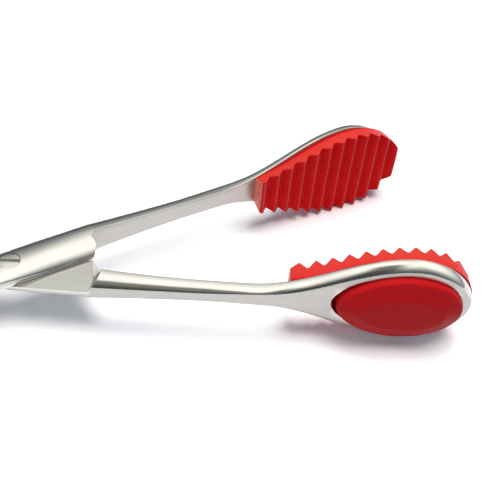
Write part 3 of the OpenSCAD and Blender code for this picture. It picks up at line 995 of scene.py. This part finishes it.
class TONGS_OT_joint_screw(bpy.types.Operator):
    """Make the slotted joint screw, ground flush with the lap"""
    bl_idname = "tongs.joint_screw"
    bl_label = "Joint screw"

    def execute(self, context):
        look = context.scene.tongs_finish
        shank, head, thread = SCREW_SHANK / 2, SCREW_HEAD / 2, THREAD_RADIUS
        screw = lathe("joint_screw_slotted", [
            (0, -SCREW_TOP), (thread - THREAD_CHAMFER, -SCREW_TOP),
            (thread, -SCREW_TOP + THREAD_CHAMFER), (thread, -LAP_GAP / 2),
            (shank, -LAP_GAP / 2), (shank, HEAD_SEAT), (head, HEAD_SEAT),
            (head, SCREW_TOP - HEAD_EDGE)]
            + [(r, SCREW_TOP) for r in np.linspace(head - 0.05, 0, 12)], 128)
        apply_to(screw, self.crowned)
        screw.data.materials.append(steel("screw steel", look.steel_color,
                                          JOINT_SCREW_ROUGH, None, JOINT_SCREW_GRAIN))
        carve(screw, slot_cutter(SCREW_HEAD, SCREW_TOP - SLOT_DEPTH, SCREW_TOP + 1))
        apply_to(screw, lambda p: turned(p, -OPEN_ANGLE) + PIVOT)
        finish(screw, "right_half", "pivot_screw")
        return {"FINISHED"}

    @staticmethod
    def crowned(points):
        """Grinds the head to the curve of the lap, across the left arm."""
        across = turned(points, -2 * OPEN_ANGLE)[:, 1]
        half, radius = JOINT_THICKNESS / 2, JOINT_WIDTH / 2
        dome = half * np.sqrt(1 - np.minimum(1, across / radius) ** 2) - CROWN_SINK
        ground = points.copy()
        ground[:, 2] += dome - SCREW_TOP
        return np.where(points[:, 2:] > SCREW_TOP - HEAD_EDGE - CROWN_SINK, ground, points)


class TONGS_OT_jaw_pads(bpy.types.Operator):
    """Make the two ridged rubber jaw pads"""
    bl_idname = "tongs.jaw_pads"
    bl_label = "Jaw pads"

    def execute(self, context):
        sizes, look = context.scene.tongs_sizes, context.scene.tongs_finish
        red = rubber("pad rubber", look)
        for side, shift in (("left", PAD_SHIFT), ("right", -PAD_SHIFT)):
            pad = pad_front(f"{side}_pad_ridged", sizes.ridge_round / MM, shift)
            carve(pad, pad_back(), "UNION")
            pad.data.materials.clear()
            pad.data.materials.append(red)
            mark_rubber(pad, PAD_HEEL + shift)
            apply_to(pad, lambda p: place(p, side))
            finish(pad, f"{side}_half", f"{side}_pad")
        return {"FINISHED"}


class TONGS_OT_spring_leaves(bpy.types.Operator):
    """Make the two spring leaves, curved to meet on the middle plane between the handles"""
    bl_idname = "tongs.spring_leaves"
    bl_label = "Spring leaves"

    def execute(self, context):
        look = context.scene.tongs_finish
        neck = LEAF_CROSS[0] - FORK_DEPTH
        for side, turn in SIDES:
            fork = side == "left"
            strip = leaf(f"{side}_spring_leaf", LEAF_TIP_HALF if fork else TONGUE_HALF)
            strip.data.materials.append(steel(f"{side} leaf steel", look.spring_color,
                                              LEAF_ROUGH, None, turn, LEAF_RELIEF))
            if fork:
                room = TONGUE_HALF + FORK_CLEARANCE
                carve(strip, block("fork", (neck, -20, -room),
                                   (neck + 2 * FORK_DEPTH + LEAF_TIP_OVER, 40, room)))
            hole = rod("hole", LEAF_SCREW / 2 + PAD_CLEARANCE, -2 * HANDLE_INNER, 0)
            carve(strip, apply_to(hole, on_handle))
            apply_to(strip, lambda p: place(p, side))
            self.bend(strip, side)
        return {"FINISHED"}

    @staticmethod
    def bend(strip, side):
        """Shades the strip, bakes its place into its points and hides the CAD node it
        replaces;
        nothing bends it. The start of the leaf's curve and the crossing are worked out but
        not used."""
        smooth(strip)
        start = place(np.array([[-LEAF_FREE, -HANDLE_INNER, 0]], float), side)[0]
        cross = PIVOT + [-LEAF_REACH, 0, 0]
        start[1] = cross[1]
        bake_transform(strip)
        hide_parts(f"{side}_arm_spring")


class TONGS_OT_spring_screws(bpy.types.Operator):
    """Make the round-headed screws that hold the spring leaves"""
    bl_idname = "tongs.spring_screws"
    bl_label = "Spring screws"

    def execute(self, context):
        sphere, head, rim = LEAF_HEAD_SPHERE, LEAF_HEAD / 2, LEAF_HEAD_EDGE
        edge = math.sqrt(sphere ** 2 - head ** 2) - (sphere - LEAF_HEAD_HEIGHT)
        cap = [(sphere * math.sin(t), sphere * math.cos(t) - sphere + LEAF_HEAD_HEIGHT)
               for t in np.linspace(math.asin(head / sphere), 0, 14)]
        deep = -LEAF_THICKNESS - HANDLE_THICKNESS + LEAF_SCREW_STOP
        shank = LEAF_SCREW / 2
        for side, turn in SIDES:
            screw = lathe(f"{side}_spring_screw_head", [
                (0, deep), (shank, deep), (shank, 0), (head - rim, 0), (head, rim),
                (head, edge)] + cap[1:-1] + [(0, LEAF_HEAD_HEIGHT)])
            screw.data.materials.append(steel(f"{side} spring screw steel", SCREW_COLOR,
                                              SPRING_SCREW_ROUGH, None, turn))
            carve(screw, slot_cutter(LEAF_HEAD, LEAF_HEAD_HEIGHT - SLOT_DEPTH,
                                     LEAF_HEAD_HEIGHT + 1))
            seat = -HANDLE_INNER + LEAF_THICKNESS
            apply_to(screw, lambda p: place(on_handle(p, seat), side))
            finish(screw, f"{side}_half", f"{side}_arm_spring_screw")
        return {"FINISHED"}


class TONGS_OT_stage(bpy.types.Operator):
    """Make the floor, the studio tent, the lamps and the camera"""
    bl_idname = "tongs.stage"
    bl_label = "Stage"

    def execute(self, context):
        settings = context.scene.tongs_stage
        self.camera(context)
        self.world(context, settings.fill)
        self.floor()
        self.tent()
        for power, (name, place_at, size, color) in zip(
                (settings.key_power, settings.side_power), LAMPS):
            self.lamp(name, place_at, size, color, power)
        context.scene.view_settings.view_transform = "Standard"
        return {"FINISHED"}

    def camera(self, context):
        """Camera from azimuth, elevation and roll about the pivot, shifted sideways."""
        flat = math.cos(VIEW_ELEVATION)
        back = Vector((VIEW_FRONT[0] * flat, VIEW_FRONT[1] * flat, math.sin(VIEW_ELEVATION)))
        right = Vector(VIEW_RIGHT)
        up = back.cross(right)
        r = math.cos(VIEW_ROLL) * right + math.sin(VIEW_ROLL) * up
        u = -math.sin(VIEW_ROLL) * right + math.cos(VIEW_ROLL) * up
        data = bpy.data.cameras.new("camera")
        data.sensor_width = SENSOR
        data.lens = LENS
        data.clip_start = 0.005
        camera = new_object("camera", data)
        sideways, upwards, away = VIEW_PLACE
        camera.matrix_world = Matrix.Translation(
            Vector(PIVOT * MM)
            + RIDGE_PITCH * MM * (sideways * r + upwards * u + away * back)
        ) @ Matrix((r, u, back)).transposed().to_4x4()
        context.scene.camera = camera

    def world(self, context, fill):
        """White for the camera and in metal, and an even soft fill on everything."""
        world = bpy.data.worlds.new("studio")
        tree = empty_tree(world)
        context.scene.world = world
        light = add(tree, "Background", {"Color": FILL_COLOR, "Strength": fill})
        white = add(tree, "Background", {"Color": (1, 1, 1, 1)})
        pick = add(tree, "MixShader", {"Fac": self.seen(tree), 1: light.outputs["Background"],
                                       2: white.outputs["Background"]})
        add(tree, "OutputWorld", {"Surface": pick.outputs["Shader"]})

    @staticmethod
    def seen(tree):
        """1 for rays from the camera and for those that metal or glass sends on."""
        rays = add(tree, "LightPath").outputs
        total = combine(tree, "MAXIMUM", rays["Is Camera Ray"], rays["Is Glossy Ray"])
        return combine(tree, "MAXIMUM", total, rays["Is Transmission Ray"])

    def floor(self):
        """White floor that keeps the shadow, and fades to plain white further out."""
        far = FLOOR_HALF
        mesh = bpy.data.meshes.new("floor")
        mesh.from_pydata([(-far, -far, 0), (far, -far, 0), (far, far, 0), (-far, far, 0)],
                         [], [(0, 1, 2, 3)])
        floor = new_object("floor", mesh)
        material = bpy.data.materials.new("floor white")
        tree = empty_tree(material)
        matt = add(tree, "BsdfDiffuse", {
            "Color": tint(tree, self.seen(tree), FLOOR_SHADE, FLOOR_SEEN)})
        away = add(tree, "VectorMath", {0: own_point(tree)},
                   operation="LENGTH").outputs["Value"]
        lift = combine(tree, "MULTIPLY", add(tree, "LightPath").outputs["Is Camera Ray"],
                       spread_value(tree, away, 0, 1, *FLOOR_FADE))
        glow = add(tree, "Emission", {"Strength": lift})
        both = add(tree, "AddShader", {0: matt.outputs["BSDF"], 1: glow.outputs["Emission"]})
        add(tree, "OutputMaterial", {"Surface": both.outputs["Shader"]})
        mesh.materials.append(material)

    def tent(self):
        """Round studio tent that shows only in the metal: half a sphere, dark at the
        horizon, light overhead and shaded in a strip on the front side, so that
        round flanks carry soft bands."""
        height = np.linspace(0, np.pi / 2, 25)[:-1, None]
        turn = np.linspace(0, 2 * np.pi, 97)[None, :-1]
        tent = piece("studio_tent", TENT_RADIUS * np.stack([
            np.cos(height) * np.cos(turn), np.cos(height) * np.sin(turn),
            np.sin(height) + 0 * turn], -1), (False, True))
        tent.data.flip_normals()
        material = bpy.data.materials.new("tent cloth")
        tree = empty_tree(material)
        up, tip, aside, front = (self.along(tree, way) for way in (
            (0, 0, 1), (1, 0, 0), VIEW_RIGHT, VIEW_FRONT))
        ramp = add(tree, "ValToRGB", {
            "Fac": combine(tree, "ADD", up, spread_value(tree, tip, 0, 0.5, 0.4, 1))})
        bands = ramp.color_ramp.elements
        while len(bands) < len(TENT_BANDS):
            bands.new(0.5)
        for band, (position, color) in zip(bands, TENT_BANDS):
            band.position = position
            band.color = (*color, 1)
        width = combine(tree, "ABSOLUTE", aside)
        strip = combine(tree, "MULTIPLY", spread_value(tree, width, 0.85, 0, 0.12, 0.28),
                        spread_value(tree, front, 0, 1, 0, 0.22))
        glow = add(tree, "Emission", {
            "Color": tint(tree, strip, ramp.outputs["Color"], TENT_STRIP),
            "Strength": TENT_POWER})
        add(tree, "OutputMaterial", {"Surface": glow.outputs["Emission"]})
        tent.data.materials.append(material)
        tent.visible_camera = False
        tent.visible_diffuse = False
        tent.visible_shadow = False
        tent.visible_transmission = False

    @staticmethod
    def along(tree, way):
        """How far a point of the tent lies along a way, as a share of its radius."""
        dot = add(tree, "VectorMath", {0: own_point(tree), 1: way},
                  operation="DOT_PRODUCT").outputs["Value"]
        return spread_value(tree, dot, -1, 1, -TENT_RADIUS * MM, TENT_RADIUS * MM)

    @staticmethod
    def lamp(name, place_at, size, color, power):
        """Oblong lamp that faces the tongs."""
        data = bpy.data.lights.new(name, "AREA")
        data.shape = "RECTANGLE"
        data.size, data.size_y = size
        data.energy = power
        data.color = color
        lamp = new_object(name, data)
        lamp.location = place_at
        lamp.visible_glossy = False
        lamp.rotation_mode = "QUATERNION"
        facing = Vector(place_at) - Vector(LAMP_AIM)
        lamp.rotation_quaternion = facing.to_track_quat("Z", "Y")


class TONGS_PT_panel(bpy.types.Panel):
    """Sidebar panel with the settings and the pieces"""
    bl_idname = "TONGS_PT_panel"
    bl_label = "Tongs"
    bl_space_type = "VIEW_3D"
    bl_region_type = "UI"
    bl_category = "Tongs"

    def draw(self, context):
        scene = context.scene
        for group in (scene.tongs_sizes, scene.tongs_finish, scene.tongs_stage):
            box = self.layout.box()
            for name in group.__annotations__:
                box.prop(group, name)
        for operator in OPERATORS:
            self.layout.operator(operator.bl_idname)


OPERATORS = (TONGS_OT_stage, TONGS_OT_arms, TONGS_OT_joint_screw, TONGS_OT_jaw_pads,
             TONGS_OT_spring_leaves, TONGS_OT_spring_screws)
GROUPS = {"tongs_sizes": TongsSizes, "tongs_finish": TongsFinish, "tongs_stage": TongsStage}
CLASSES = (*GROUPS.values(), *OPERATORS, TONGS_PT_panel)


def register():
    for kind in CLASSES:
        bpy.utils.register_class(kind)
    for name, group in GROUPS.items():
        setattr(bpy.types.Scene, name, PointerProperty(type=group))


def unregister():
    for name in GROUPS:
        delattr(bpy.types.Scene, name)
    for kind in reversed(CLASSES):
        bpy.utils.unregister_class(kind)


def main():
    """Builds the stage and every piece."""
    register()
    bpy.ops.tongs.stage()
    bpy.ops.tongs.arms()
    bpy.ops.tongs.joint_screw()
    bpy.ops.tongs.jaw_pads()
    bpy.ops.tongs.spring_leaves()
    bpy.ops.tongs.spring_screws()
    bpy.context.view_layer.update()


if __name__ == "__main__":
    main()
